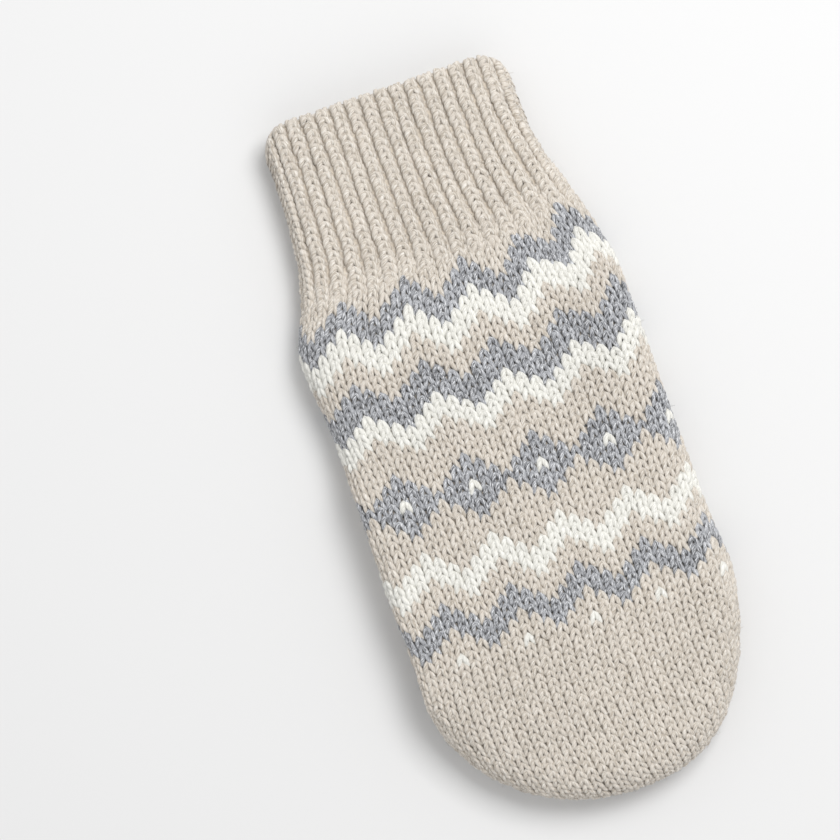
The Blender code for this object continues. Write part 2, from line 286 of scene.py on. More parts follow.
class Bag:
    """A flattened tube of knitting: its rings, each measured from the middle of its upper face."""

    # Steps across the width, steps round each half of a ring, and the least half thickness
    ACROSS = 160
    SIDE = 160
    THINNEST = 1e-5

    def __init__(self, ys, centre, reach, low, high, inset, outline):
        self.ys = ys
        self.half = np.zeros((2, len(ys)))
        self.upper = np.zeros((2, len(ys)))
        self.points = np.zeros((len(ys), 2 * self.SIDE + 1, 3))
        turn = np.linspace(0, math.pi, self.ACROSS + 1)
        mid = self.ACROSS // 2
        for row, y in enumerate(ys):
            x = centre(y) - reach(y, inset) * np.cos(turn)
            depth = depth_inside(x, y, outline)
            depth[[0, -1]] = 0
            bottom, top = low(x, y), high(x, y)
            radius = np.maximum((top - bottom) / 2 - inset, self.THINNEST)
            half = radius * np.sqrt(1 - (1 - np.clip(depth / radius, 0, 1)) ** 2)
            faces = [np.column_stack((x, (bottom + top) / 2 + s * half)) for s in (1, -1)]
            for side in (0, 1):
                keep = slice(mid, None) if side else slice(mid, None, -1)
                over, under = faces[0][keep], faces[1][keep][::-1]
                line = np.vstack((over, under[1:]))
                run = np.append(0, np.cumsum(np.hypot(*np.diff(line, axis=0).T)))
                self.half[side, row] = run[-1]
                self.upper[side, row] = run[len(over) - 1]
                at = np.linspace(0, run[-1], self.SIDE + 1)
                ring = np.column_stack([np.interp(at, run, line[:, k]) for k in (0, 1)])
                if side:
                    self.points[row, self.SIDE :, [0, 2]] = ring.T
                else:
                    self.points[row, : self.SIDE + 1, [0, 2]] = ring[::-1].T
            self.points[row, :, 1] = y
        along = np.gradient(self.points, axis=0)
        across = np.gradient(self.points, axis=1)
        across[:, 0] = across[:, -1] = (self.points[:, 1] - self.points[:, -2]) / 2
        self.normals = unit(np.cross(along, across))

    def length_to_centre(self, side, y):
        """Length round a ring from its upper middle to its lower one."""
        return np.interp(-y, -self.ys, self.half[side])

    def half_ring(self, right, y):
        """The same length, on the right where that is true and on the left elsewhere."""
        return np.where(right, self.length_to_centre(1, y), self.length_to_centre(0, y))

    def at(self, run, y):
        """Points and normals at a distance round the ring from its upper middle, and a place along."""
        q = run / self.half_ring(run > 0, y)
        q = np.where(q > 1, q - 2, np.where(q < -1, q + 2, q))
        row = np.interp(-y, -self.ys, np.arange(len(self.ys)))
        col = (q + 1) * self.SIDE
        r0 = np.clip(row.astype(int), 0, len(self.ys) - 2)
        c0 = np.clip(col.astype(int), 0, 2 * self.SIDE - 1)
        fr, fc = (row - r0)[..., None], (col - c0)[..., None]
        out = []
        for grid in (self.points, self.normals):
            top = grid[r0, c0] * (1 - fc) + grid[r0, c0 + 1] * fc
            low = grid[r0 + 1, c0] * (1 - fc) + grid[r0 + 1, c0 + 1] * fc
            out.append(top * (1 - fr) + low * fr)
        return out[0], unit(out[1])


# How far the right edge is eased out past the model's outline, in metres, by place along, and from what
# share of the half width on
RIGHT_SWELL = (
    (-0.130, 0.0), (-0.105, 0.0), (-0.078, 0.0009), (-0.055, 0.0), (-0.045, 0.0), (0.042, 0.0),
    (0.054, 0.0002), (0.070, 0.0014), (0.090, 0.0010), (0.110, 0.0001), (0.130, 0.0),
)
SWELL_FROM = 0.5


def swell(bag):
    """The same bag with its right edge eased out, where the real mitten is fuller than the model."""
    x, y = bag.points[..., 0], bag.points[..., 1]
    share = (x - middle(y)) / half_width(y)
    bag.points[..., 0] += smooth_between(RIGHT_SWELL, y) * smooth_step(SWELL_FROM, 1, share)
    return bag


# Rings of each bag down to its round end and along that end, and how much these crowd to the tip
HAND_RINGS = 150
HAND_TIP_RINGS = 140
THUMB_RINGS = 60
THUMB_TIP_RINGS = 90
CUFF_RINGS = 120
CROWDING = 1.8


def ring_places(start, tip_start, end, body_rings, tip_rings):
    body = np.linspace(start, tip_start, body_rings, endpoint=False)
    tip = end + (tip_start - end) * (1 - np.linspace(0, 1, tip_rings)) ** CROWDING
    return np.append(body, tip)


def hand_bag(start, inset):
    """The hand, or a layer at a depth inside its wall, from a place along it to the tip."""
    end = TIP_Y + inset
    ys = ring_places(start, TIP_START_Y, end + LAST_RING, HAND_RINGS, HAND_TIP_RINGS)
    edge = edge_ys(RIM_Y, end, TIP_LENGTH - inset)
    outline = outline_of(edge, middle, half_width, inset)
    return swell(Bag(ys, middle, half_width, palm_height, back_height, inset, outline))


# How far the thumb's stitches run on past the slit's edge, its lining stops before it, and the outline
# is carried on past either
THUMB_ROOT = 0.004


def thumb_bag(start, inset):
    """The thumb, or a layer at a depth inside its wall."""
    end = THUMB_TIP_Y + inset
    tip_start = THUMB_TIP_Y + THUMB_TIP_LENGTH
    ys = ring_places(start, tip_start, end + LAST_RING, THUMB_RINGS, THUMB_TIP_RINGS)
    edge = edge_ys(start + THUMB_ROOT, end, THUMB_TIP_LENGTH - inset)
    outline = outline_of(edge, thumb_middle, thumb_half_width, inset)
    return Bag(ys, thumb_middle, thumb_half_width, on_floor, thumb_height, inset, outline)


# How far the cuff's outline is carried on past the rim, which isn't a rounded edge
PAST_RIM = 0.05


def cuff_bag(end, inset):
    """The cuff, or a layer at a depth inside its wall, from the rim to a place along it."""
    edge = edge_ys(RIM_Y + PAST_RIM, TIP_Y + inset, TIP_LENGTH - inset)
    outline = outline_of(edge, middle, half_width, inset)
    ys = np.linspace(RIM_Y, end, CUFF_RINGS)
    return swell(Bag(ys, middle, half_width, on_floor, back_height, inset, outline))


def rim_drop(x, y):
    """How far the rim's rounded corners lie back from a straight rim."""
    out = np.clip((np.abs(x - middle(y)) - half_width(y) + RIM_CORNER) / RIM_CORNER, 0, 1)
    return RIM_DROP * (1 - np.sqrt(1 - out**2)) * (1 - smooth_step(RIM_Y, JOIN_Y, y))


# Meshes


def new_mesh(name, verts, faces, material, uv=None):
    """An object from arrays of corners and faces, smoothly shaded."""
    mesh = bpy.data.meshes.new(name)
    sizes = [face.shape[1] for face in faces for _ in range(len(face))]
    loops = np.concatenate([face.ravel() for face in faces])
    mesh.vertices.add(len(verts))
    mesh.vertices.foreach_set("co", verts.astype(np.float32).ravel())
    mesh.loops.add(len(loops))
    mesh.loops.foreach_set("vertex_index", loops.astype(np.int32))
    mesh.polygons.add(len(sizes))
    starts = np.append(0, np.cumsum(sizes)[:-1])
    mesh.polygons.foreach_set("loop_start", starts.astype(np.int32))
    mesh.update(calc_edges=True)
    mesh.validate()
    mesh.shade_smooth()
    if uv is not None:
        layer = mesh.attributes.new("yarn", "FLOAT_VECTOR", "POINT")
        layer.data.foreach_set("vector", uv.astype(np.float32).ravel())
    mesh.materials.append(material)
    thing = bpy.data.objects.new(name, mesh)
    bpy.context.scene.collection.objects.link(thing)
    return thing


# Sides of a yarn's section and of a loose fibre's, how high that of a yarn in a stitch is beside its
# width, and how far apart along the pattern of fibres one stitch and the next are
SIDES = 7
HAIR_SIDES = 3
FLATNESS = 0.92
PATTERN_SHIFT = 0.1


def tubes(points, normals, radii, flat=1.0, sides=SIDES):
    """Corners, faces and yarn coordinates for many yarn tubes with the same number of points.

    A yarn coordinate is the length along the yarn, the share of a turn round it, and a random number
    that is the same all over one tube.
    """
    count, length, _ = points.shape
    tangent = unit(np.gradient(points, axis=1))
    side = unit(np.cross(tangent, normals))
    up = np.cross(side, tangent)
    turn = 2 * math.pi * np.arange(sides) / sides
    ring = (
        np.cos(turn)[None, None, :, None] * side[:, :, None]
        + flat * np.sin(turn)[None, None, :, None] * up[:, :, None]
    )
    verts = points[:, :, None] + radii[:, :, None, None] * ring
    base = np.arange(count)[:, None, None] * length * sides
    ring_start = base + np.arange(length)[None, :, None] * sides
    here = ring_start + np.arange(sides)[None, None]
    after = ring_start + (np.arange(sides)[None, None] + 1) % sides
    quads = np.stack((here[:, :-1], here[:, 1:], after[:, 1:], after[:, :-1]), axis=-1).reshape(-1, 4)
    caps = np.concatenate((here[:, 0], here[:, -1, ::-1]))
    run = np.linalg.norm(np.diff(points, axis=1), axis=2)
    run = np.concatenate((np.zeros((count, 1)), np.cumsum(run, axis=1)), axis=1)
    uv = np.zeros(verts.shape)
    uv[..., 0] = run[:, :, None] + PATTERN_SHIFT * np.arange(count)[:, None, None]
    uv[..., 1] = np.arange(sides)[None, None] / sides
    uv[..., 2] = random.random(count)[:, None, None]
    return verts.reshape(-1, 3), [quads, caps], uv.reshape(-1, 3)


# Half of one stitch, from its foot to its apex: shares of the column and of the row, how far out it
# stands in yarn radii, and the share of the yarn's full radius
Bend = namedtuple("Bend", "across along rise plump")
ARCH = (
    Bend(0.405, -1.14, -1.20, 0.55),
    Bend(0.370, -0.84, -0.24, 0.90),
    Bend(0.290, -0.45, 0.05, 1.06),
    Bend(0.198, -0.08, 0.20, 1.06),
    Bend(0.098, 0.24, 0.04, 0.93),
    Bend(0.0, 0.38, -0.20, 0.82),
)
RIB_ARCH = (
    Bend(0.270, -1.20, -1.90, 0.60),
    Bend(0.290, -0.85, -0.90, 0.85),
    Bend(0.270, -0.45, -0.15, 1.00),
    Bend(0.185, -0.06, 0.20, 1.05),
    Bend(0.090, 0.22, 0.20, 1.00),
    Bend(0.0, 0.36, 0.00, 0.96),
)
PURL = (
    Bend(0.26, -0.30, -2.20, 0.80),
    Bend(0.18, -0.05, -1.90, 0.95),
    Bend(0.09, 0.08, -1.78, 1.00),
    Bend(0.0, 0.12, -1.75, 1.00),
)
# The yarn carried straight on behind a coloured stitch
FLOAT = (
    Bend(0.52, -0.10, -1.00, 0.60),
    Bend(0.0, -0.10, -0.95, 0.66),
)

# Points along each kind of stitch
BACK_STEPS = 11
PALM_STEPS = 9
PURL_STEPS = 6
FLOAT_STEPS = 3

# How unlike each other stitches are. In shares of a column or a row: width, place across, slant, place
# along and height. In yarn radii: rise, and rise of one leg against the other. Last, thickness.
Unlike = namedtuple("Unlike", "width across slant along height rise legs thickness")
UNLIKE = Unlike(0.05, 0.024, 0.12, 0.02, 0.04, 0.09, 0.5, 0.04)


def arch_path(half, steps):
    """The whole stitch's path, evenly resampled."""
    half = np.array(half)
    left = half * (-1, 1, 1, 1)
    path = np.vstack((left, half[-2::-1]))
    run = np.append(0, np.cumsum(np.linalg.norm(np.diff(path[:, :2], axis=0), axis=1)))
    at = np.linspace(0, run[-1], steps)
    return np.column_stack([np.interp(at, run, path[:, k]) for k in range(4)])


def lay_stitches(
    bag, columns, rows_y, place, pitch_row, half, yarn, lift=0.0, size=1.0, steps=BACK_STEPS
):
    """Tubes for stitches, each given by its column, its place along it and its row height."""
    path_across, path_along, path_rise, path_plump = arch_path(half, steps).T[:, None]
    chance = random.normal(0, 1, (len(columns), len(UNLIKE))) * UNLIKE
    jitter = Unlike(*np.split(chance, len(UNLIKE), axis=1))
    across = path_across * (1 + jitter.width) + jitter.across
    tilt = jitter.slant * path_across + jitter.along
    along = path_along * (1 + jitter.height) + tilt
    y_of, run_of = place
    y = y_of(columns[:, None], rows_y[:, None] - along * pitch_row[:, None])
    run = run_of(columns[:, None] + across * np.reshape(size, (-1, 1)), y)
    points, normals = bag.at(run, y)
    rise = path_rise + jitter.rise + jitter.legs * path_across
    points = points + normals * (rise * yarn + np.reshape(lift, (-1, 1)))[..., None]
    radii = yarn * path_plump * (1 + jitter.thickness)
    return tubes(points, normals, radii, flat=FLATNESS)


# Loose fibres: their length and radius, the least and greatest share of that length that one has and
# that its end stands off by, and the share of a yarn's rings that carries one
HAIR_LENGTH = 0.0017
HAIR_RADIUS = 0.000065
HAIR_LENGTHS = (0.5, 1.4)
HAIR_LIFTS = (0.0, 0.20)
FLUFF = 0.12
CUFF_FLUFF = 0.08


def hairs(verts, share):
    """Loose fibres that lie across the yarn here and there: one on this share of the tubes' rings."""
    rings = verts.reshape(-1, SIDES, 3)
    rings = rings[random.choice(len(rings), int(share * len(rings)), replace=False)]
    count = len(rings)
    root = rings[np.arange(count), random.integers(0, SIDES // 2 + 1, count)]
    out = unit(root - rings.mean(1))
    way = random.normal(size=(count, 3))
    way = unit(way - (way * out).sum(1, keepdims=True) * out)
    length = HAIR_LENGTH * random.uniform(*HAIR_LENGTHS, (count, 1))
    lift = HAIR_LENGTH * random.uniform(*HAIR_LIFTS, (count, 1))
    points = np.stack((root, root + way * length + out * lift), axis=1)
    normals = np.repeat(out[:, None], 2, axis=1)
    return tubes(points, normals, np.full((count, 2), HAIR_RADIUS), sides=HAIR_SIDES)


# The place round a yarn that faces into the mitten, as a share of a turn, where its painted flank shade
# is darkest
UNDERSIDE = 0.75


def in_shadow(verts, faces, uv):
    """The same tubes, with a yarn's painted flank shade all round, at its darkest."""
    uv[:, 1] = UNDERSIDE
    return verts, faces, uv


def joined(parts):
    """Several sets of tubes as one."""
    verts, faces, uv = zip(*parts)
    starts = np.append(0, np.cumsum([len(v) for v in verts])[:-1])
    both = [np.vstack([f[k] + start for f, start in zip(faces, starts)]) for k in (0, 1)]
    return np.vstack(verts), both, np.vstack(uv)


def above_floor(verts):
    """The yarn that touches the floor is pressed flat by it."""
    verts[:, 2] = np.maximum(verts[:, 2], FLOOR_GAP)
    return verts


class Columns:
    """Where the columns of stitches run on a bag, and how far along each one a row is."""

    # How far past the middle of the edge a column still counts as on its face
    EDGE = 1e-4

    def __init__(self, bag, columns, upper_columns, pitch, tip_start, skew=None, ease=None):
        self.bag, self.total, self.ease = bag, columns, ease or (lambda y: 1.0)
        self.upper_half, self.pitch = upper_columns / 2, pitch
        self.lower_half = (columns - upper_columns) / 2
        self.tip_start, self.skew = tip_start, skew or (lambda column, y: 0.0 * y)
        self.reference = self.girth(tip_start)
        self.runs = {}

    def girth(self, y):
        return self.bag.length_to_centre(0, y) + self.bag.length_to_centre(1, y)

    def upper_pitch(self, y):
        """Width of a column on the upper face."""
        y = np.maximum(y, self.tip_start)
        return self.pitch * self.ease(y) * self.girth(y) / self.reference

    def run(self, column, y):
        """Distance round the ring for a column: 0 at the upper middle, whole numbers at its columns."""
        column, y = np.broadcast_arrays(np.asarray(column, float), np.asarray(y, float))
        size = np.abs(column)
        side = column > 0
        half_body = self.bag.half_ring(side, np.maximum(y, self.tip_start))
        half = self.bag.half_ring(side, y)
        upper = self.upper_pitch(y)
        lower = (half_body - self.upper_half * upper) / self.lower_half
        from_centre = half - lower * (self.total / 2 - size)
        distance = np.where(size <= self.upper_half, size * upper, from_centre)
        return np.where(side, distance, -distance) + self.skew(column, y)

    def measure(self, column):
        """Length along a column from the bag's start, at each ring that the column reaches."""
        if column not in self.runs:
            ys = self.bag.ys
            run = self.run(column, ys)
            side = int(column > 0)
            upper = self.bag.upper[side]
            if abs(column) <= self.upper_half:
                inside = np.abs(run) <= upper + self.EDGE
            else:
                inside = np.abs(run) >= upper - self.EDGE
            inside |= ys >= self.tip_start
            last = len(ys) if inside.all() else int(np.argmin(inside))
            points, _ = self.bag.at(run[:last], ys[:last])
            steps = np.linalg.norm(np.diff(points, axis=0), axis=1)
            self.runs[column] = (ys[:last], np.append(0, np.cumsum(steps)))
        return self.runs[column]

    def y_at(self, column, along):
        """Place along the mitten for lengths along columns; whole columns only."""
        column, along = np.broadcast_arrays(column, along)
        y = np.zeros(along.shape)
        for c in np.unique(column):
            ys, run = self.measure(float(c))
            here = column == c
            y[here] = np.interp(along[here], run, ys)
        return y

    def along_at(self, column, y):
        """Length along a column at a place along the mitten."""
        ys, run = self.measure(float(column))
        return float(np.interp(-y, -ys, run))

    def end(self, column):
        """The column's whole length."""
        return float(self.measure(float(column))[1][-1])

    def point(self, column, along):
        """The point on the bag at a length along a column."""
        column = np.array([float(column)])
        y = self.y_at(column, np.array([along]))
        return self.bag.at(self.run(column, y), y)[0][0]


# Yarns

# Turns of the fibres to a metre of yarn, how fast their pattern changes along it and from one tube to
# the next, and how fine the thick fibres, the thin ones and the broad patches of shade are
TWIST = 120
ALONG_YARN = 260.0
BETWEEN_TUBES = 60.0
THICK_FIBRES = 1.7
THIN_FIBRES = 2.8
PATCHES = 34.0

# Levels of the pattern at which dark gives way to the yarn's colour and that to light, and how softly
DARK_LEVEL = 0.47
LIGHT_LEVEL = 0.58
SOFTNESS = 0.07

# Levels between which shade goes: of the patches, of one tube's random number, and of the sine of the
# place round the yarn, which sets the painted shade down the yarn's flanks
PATCH_LEVELS = (0.36, 0.56)
TUBE_LEVELS = (-0.3, 0.6)
FLANK_LEVELS = (-0.1, 0.6)

# Shade of the patches, and the sheen of the finest fibres
PATCH_SHADE = 0.95
FUZZ = 0.3

# Heights of the plies and the thick fibres beside the thin ones, and the depth of the relief in metres
PLY_HEIGHT = 0.30
THICK_HEIGHT = 0.9
RELIEF = 0.00030
RELIEF_STRENGTH = 0.7


def neutral(value):
    return (value, value, value, 1)


def new_material(name, roughness):
    """A material, its nodes, its links and its shader."""
    material = bpy.data.materials.new(name)
    material.use_nodes = True
    shader = material.node_tree.nodes["Principled BSDF"]
    shader.inputs["Roughness"].default_value = roughness
    return material, material.node_tree.nodes, material.node_tree.links, shader


def yarn_material(name, colour, light, dark, streak=1.0, uneven=0.06, flank_shade=0.0):
    """Heathered wool: fibres that wind along the yarn, some lighter and some darker than the rest.

    streak is how sharply the fibres stand out, uneven how much one tube differs from the next, and
    flank_shade how much painted shade darkens the yarn down its sides and underneath.
    """
    material, nodes, links, shader = new_material(name, 0.9)
    shader.inputs["Sheen Weight"].default_value = FUZZ
    shader.inputs["Sheen Roughness"].default_value = 0.6
    shader.inputs["Specular IOR Level"].default_value = 0.2

    def math_node(kind, first, second=None, third=None):
        made = nodes.new("ShaderNodeMath")
        made.operation = kind
        for socket, value in zip(made.inputs, (first, second, third)):
            if value is None:
                continue
            if isinstance(value, (int, float)):
                socket.default_value = value
            else:
                links.new(value, socket)
        return made.outputs[0]

    def noise(scale, detail, vector):
        made = nodes.new("ShaderNodeTexNoise")
        made.inputs["Scale"].default_value = scale
        made.inputs["Detail"].default_value = detail
        made.inputs["Roughness"].default_value = 0.6
        links.new(vector, made.inputs["Vector"])
        return made.outputs["Fac"]

    def blend(low, high, factor, start, end):
        ramp = nodes.new("ShaderNodeMapRange")
        ramp.inputs["From Min"].default_value = start
        ramp.inputs["From Max"].default_value = end
        links.new(factor, ramp.inputs["Value"])
        mix = nodes.new("ShaderNodeMix")
        mix.data_type = "RGBA"
        links.new(ramp.outputs[0], mix.inputs["Factor"])
        for socket, value in ((mix.inputs["A"], low), (mix.inputs["B"], high)):
            if isinstance(value, tuple):
                socket.default_value = value
            else:
                links.new(value, socket)
        return mix.outputs["Result"]

    def times(first, second):
        mix = nodes.new("ShaderNodeMix")
        mix.data_type, mix.blend_type = "RGBA", "MULTIPLY"
        mix.inputs["Factor"].default_value = 1
        links.new(first, mix.inputs["A"])
        links.new(second, mix.inputs["B"])
        return mix.outputs["Result"]

    yarn = nodes.new("ShaderNodeAttribute")
    yarn.attribute_name = "yarn"
    parts = nodes.new("ShaderNodeSeparateXYZ")
    links.new(yarn.outputs["Vector"], parts.inputs[0])
    turn = math_node("MULTIPLY_ADD", parts.outputs["X"], TWIST, parts.outputs["Y"])
    angle = math_node("MULTIPLY", turn, 2 * math.pi)
    fibres = nodes.new("ShaderNodeCombineXYZ")
    links.new(math_node("COSINE", angle), fibres.inputs["X"])
    links.new(math_node("SINE", angle), fibres.inputs["Y"])
    along = math_node("MULTIPLY", parts.outputs["X"], ALONG_YARN)
    links.new(math_node("MULTIPLY_ADD", parts.outputs["Z"], BETWEEN_TUBES, along), fibres.inputs["Z"])
    thick = noise(THICK_FIBRES, 2.0, fibres.outputs[0])
    thin = noise(THIN_FIBRES, 2.0, fibres.outputs[0])
    position = nodes.new("ShaderNodeTexCoord")
    broad = noise(PATCHES, 2.0, position.outputs["Object"])

    soft = SOFTNESS / streak
    colour = blend((*dark, 1), (*colour, 1), thick, DARK_LEVEL - soft, DARK_LEVEL + soft)
    colour = blend(colour, (*light, 1), thin, LIGHT_LEVEL - soft, LIGHT_LEVEL + soft)
    shade = blend(neutral(PATCH_SHADE), neutral(1), broad, *PATCH_LEVELS)
    shade = blend(neutral(1 - uneven), shade, parts.outputs["Z"], *TUBE_LEVELS)
    # Painted shade: the yarn darkens down its sides and underneath, by the sine of the place round it
    if flank_shade:
        top = math_node("SINE", math_node("MULTIPLY", parts.outputs["Y"], 2 * math.pi))
        shade = times(shade, blend(neutral(1 - flank_shade), neutral(1), top, *FLANK_LEVELS))
    links.new(times(colour, shade), shader.inputs["Base Color"])

    plies = math_node("SINE", math_node("MULTIPLY", angle, 2.0))
    fibre_height = math_node("MULTIPLY_ADD", thick, THICK_HEIGHT, thin)
    height = math_node("MULTIPLY_ADD", plies, PLY_HEIGHT, fibre_height)
    bump = nodes.new("ShaderNodeBump")
    bump.inputs["Strength"].default_value = RELIEF_STRENGTH
    bump.inputs["Distance"].default_value = RELIEF
    links.new(height, bump.inputs["Height"])
    links.new(bump.outputs["Normal"], shader.inputs["Normal"])
    return material


# Shades of the lining's darker and lighter fibres, how fine they are, and the depth of their relief
LINING_SHADES = (0.7, 1.2)
LINING_FIBRES = 900.0
LINING_RELIEF = 0.0004


def lining_material(name, colour):
    """The yarn between and behind the stitches, in their shade."""
    material, nodes, links, shader = new_material(name, 0.95)
    position = nodes.new("ShaderNodeTexCoord")
    fibres = nodes.new("ShaderNodeTexNoise")
    fibres.inputs["Scale"].default_value = LINING_FIBRES
    fibres.inputs["Detail"].default_value = 3.0
    links.new(position.outputs["Object"], fibres.inputs["Vector"])
    mix = nodes.new("ShaderNodeMix")
    mix.data_type = "RGBA"
    links.new(fibres.outputs["Fac"], mix.inputs["Factor"])
    for socket, level in zip((mix.inputs["A"], mix.inputs["B"]), LINING_SHADES):
        socket.default_value = (*(level * c for c in colour), 1)
    links.new(mix.outputs["Result"], shader.inputs["Base Color"])
    bump = nodes.new("ShaderNodeBump")
    bump.inputs["Distance"].default_value = LINING_RELIEF
    links.new(fibres.outputs["Fac"], bump.inputs["Height"])
    links.new(bump.outputs["Normal"], shader.inputs["Normal"])
    return material


BEIGE = (0.682, 0.624, 0.552)
BEIGE_LIGHT = (0.83, 0.79, 0.73)
BEIGE_DARK = (0.48, 0.425, 0.355)
GREY = (0.420, 0.430, 0.455)
GREY_LIGHT = (0.84, 0.85, 0.87)
GREY_DARK = (0.120, 0.123, 0.134)
WHITE = (0.825, 0.815, 0.762)
WHITE_LIGHT = (0.93, 0.92, 0.88)
WHITE_DARK = (0.66, 0.65, 0.60)
BEHIND = (0.69, 0.62, 0.53)

YARNS = {
    "beige": yarn_material("oatmeal_yarn", BEIGE, BEIGE_LIGHT, BEIGE_DARK, streak=1.25),
    # The grey yarn gets painted shade down its sides and underneath
    "grey": yarn_material(
        "grey_yarn", GREY, GREY_LIGHT, GREY_DARK, streak=1.7, uneven=0.18, flank_shade=0.72
    ),
    "white": yarn_material("white_yarn", WHITE, WHITE_LIGHT, WHITE_DARK, uneven=0.02),
}
LINING = lining_material("yarn_behind", BEHIND)


# The chart


def chart(column, row):
    """The yarn of one stitch, by its column from the middle of the back and its row from the cuff."""
    away = (column - PEAK_COLUMN) % REPEAT
    away = min(away, REPEAT - away)
    for yarn, first, last in ZIGZAG:
        if first <= row - away <= last:
            return yarn
    if away == 0 and row in (DIAMOND_ROW, DOT_ROW):
        return "white"
    if abs(row - DIAMOND_ROW) <= DIAMOND_REACH - away:
        return "grey"
    return "beige"


# The hand

# How far the hand's first row is pulled towards the wrist on each side, in metres, between which
# columns this grows and goes again, and what share of it is left at later rows
Bow = namedtuple("Bow", "by start full fade end")
BOW_RIGHT = Bow(0.0075, 5, 14, 15, 21)
BOW_LEFT = Bow(-0.0015, 4, 12, 16, 26)
BOW_FADE = ((0, 1.0), (3, 0.87), (9, 0.80), (13, 0.62), (18, 0.28), (24, 0.0))


def row_bow(column, row):
    """How far a row near the cuff is pulled towards the wrist at a column."""
    c = column if column <= COLUMNS / 2 else column - COLUMNS
    bow = BOW_RIGHT if c > 0 else BOW_LEFT
    share = hump(bow.start, bow.full, bow.fade, bow.end, abs(c))
    return bow.by * share * float(smooth_between(BOW_FADE, row))


# By place along: how far the columns on the back lie to the left, in metres, and how wide they are
# beside even ones
SKEW = ((-0.13, 0.0), (-0.06, 0.0006), (0.0, 0.0004), (0.03, 0.0020), (0.062, 0.0010), (0.085, 0.0010))
EASE = ((-0.13, 0.955), (-0.06, 0.980), (0.0, 1.02), (0.03, 1.03), (0.06, 0.93), (0.085, 0.85))

# Columns that lie further left than even ones would: on which side and by how far, between which
# places along this grows, and between which columns it grows and goes again
Pull = namedtuple("Pull", "side by low_y full_y start full fade end")
PULLS = (
    Pull(-1, 0.0019, 0.040, 0.058, 4, 10, 12, 22),
    Pull(1, 0.0020, 0.0, 0.055, 8, 14, 17, 27),
)


def skew(column, y):
    """How far a column lies to the right of its even place."""
    shift = smooth_between(SKEW, y)
    for pull in PULLS:
        there = hump(pull.start, pull.full, pull.fade, pull.end, pull.side * column)
        shift = shift + pull.by * smooth_step(pull.low_y, pull.full_y, y) * there
    return -shift


def ease(y):
    """How wide the columns on the back are, beside even ones."""
    return smooth_between(EASE, y)


hand = hand_bag(HAND_START_Y, YARN)
hand_columns = Columns(hand, COLUMNS, BACK_COLUMNS, COLUMN, TIP_START_Y, skew, ease)

# Rows that run on under the ends of the ribs, and how deep the first of them lies
ROWS_UNDER = 3
UNDER_DEPTH = 0.0012

# More rows than any column has, and the share of a row's height that the last one needs
ROWS_AT_MOST = 200
ROOM_FOR_ROW = 0.25

# How far rows lie from where even rows would, towards the fingertip, in metres
ROW_DRIFT = (
    (0, -0.0006), (3, 0.0003), (6, 0.0010), (9, 0.0015), (13, 0.0009), (18, -0.0003), (21, -0.0007),
    (25, 0.0), (42, 0.0),
)


def row_place(row):
    """How far a row lies from the first one."""
    plain = max(0, row - PATTERN_ROWS)
    return (row - plain) * ROW + plain * PLAIN_ROW + float(smooth_between(ROW_DRIFT, row))


def hand_stitches():
    """Column, length along it, row height, yarn and lift of every stitch of the hand."""
    laid = []
    for c in range(-COLUMNS // 2 + 1, COLUMNS // 2 + 1):
        first = hand_columns.along_at(c, FIRST_ROW_Y)
        end = hand_columns.end(c)
        for row in range(-ROWS_UNDER, ROWS_AT_MOST):
            height = row_place(row + 1) - row_place(row)
            at = first + row_place(row) - row_bow(c, max(row, 0))
            if at > end - ROOM_FOR_ROW * height:
                break
            lift = -UNDER_DEPTH * min(1.0, max(0.0, (0.5 - row) / ROWS_UNDER))
            laid.append((c, at, height, chart(c, row), lift))
    return laid


# How far inside the folded thumb's outline the palm is out of sight, from its tip and from its sides
HIDDEN_FROM_TIP = 0.012
HIDDEN_FROM_SIDE = 0.010


def hidden(column, along):
    """Whether a stitch lies between the palm and the folded thumb, where nothing can see it."""
    if abs(column) <= BACK_COLUMNS / 2:
        return False
    x, y, _ = hand_columns.point(column, along)
    above_thumb = THUMB_TIP_Y + HIDDEN_FROM_TIP < y < SLIT_Y - SLIT_RISE
    return above_thumb and abs(x - THUMB_MIDDLE) < thumb_half_width(y) - HIDDEN_FROM_SIDE


# How thick each yarn is, beside the usual one
THICKNESS = {"beige": 1.0, "grey": 0.95, "white": 1.13}

laid = [s for s in hand_stitches() if not hidden(s[0], s[1])]
on_back = [abs(s[0]) <= BACK_COLUMNS // 2 for s in laid]
for yarn in YARNS:
    for face, wanted, steps in (("back", True, BACK_STEPS), ("palm", False, PALM_STEPS)):
        group = [s for s, b in zip(laid, on_back) if s[3] == yarn and b == wanted]
        columns = np.array([s[0] for s in group], float)
        along, heights, lift = np.array([(s[1], s[2], s[4]) for s in group]).T
        where = (hand_columns.y_at, hand_columns.run)
        thick = YARN * THICKNESS[yarn]
        sets = [lay_stitches(hand, columns, along, where, heights, ARCH, thick, lift, steps=steps)]
        if face == "back":
            verts, faces, uv = hairs(sets[0][0], FLUFF)
            piece = new_mesh(f"loose_fibres_{yarn}", above_floor(verts), faces, YARNS[yarn], uv)
            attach(piece, "root")
        # Floats behind coloured stitches, with painted flank shade all round, which only the grey yarn
        # has
        if yarn != "beige":
            floats = lay_stitches(
                hand, columns, along, where, heights, FLOAT, YARN, lift, steps=FLOAT_STEPS
            )
            sets.append(in_shadow(*floats))
        verts, faces, uv = joined(sets)
        piece = new_mesh(f"{face}_stitches_{yarn}", above_floor(verts), faces, YARNS[yarn], uv)
        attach(piece, "root")


# The linings

# Corners round a lining, and rows of them along each
LINING_CORNERS = 120
HAND_ROWS = 24
FINGERS_ROWS = 84
THUMB_ROWS = 44
CUFF_ROWS = 36

# A length far below any in the mitten, for places that are the same apart from rounding
ROUNDING = 1e-9


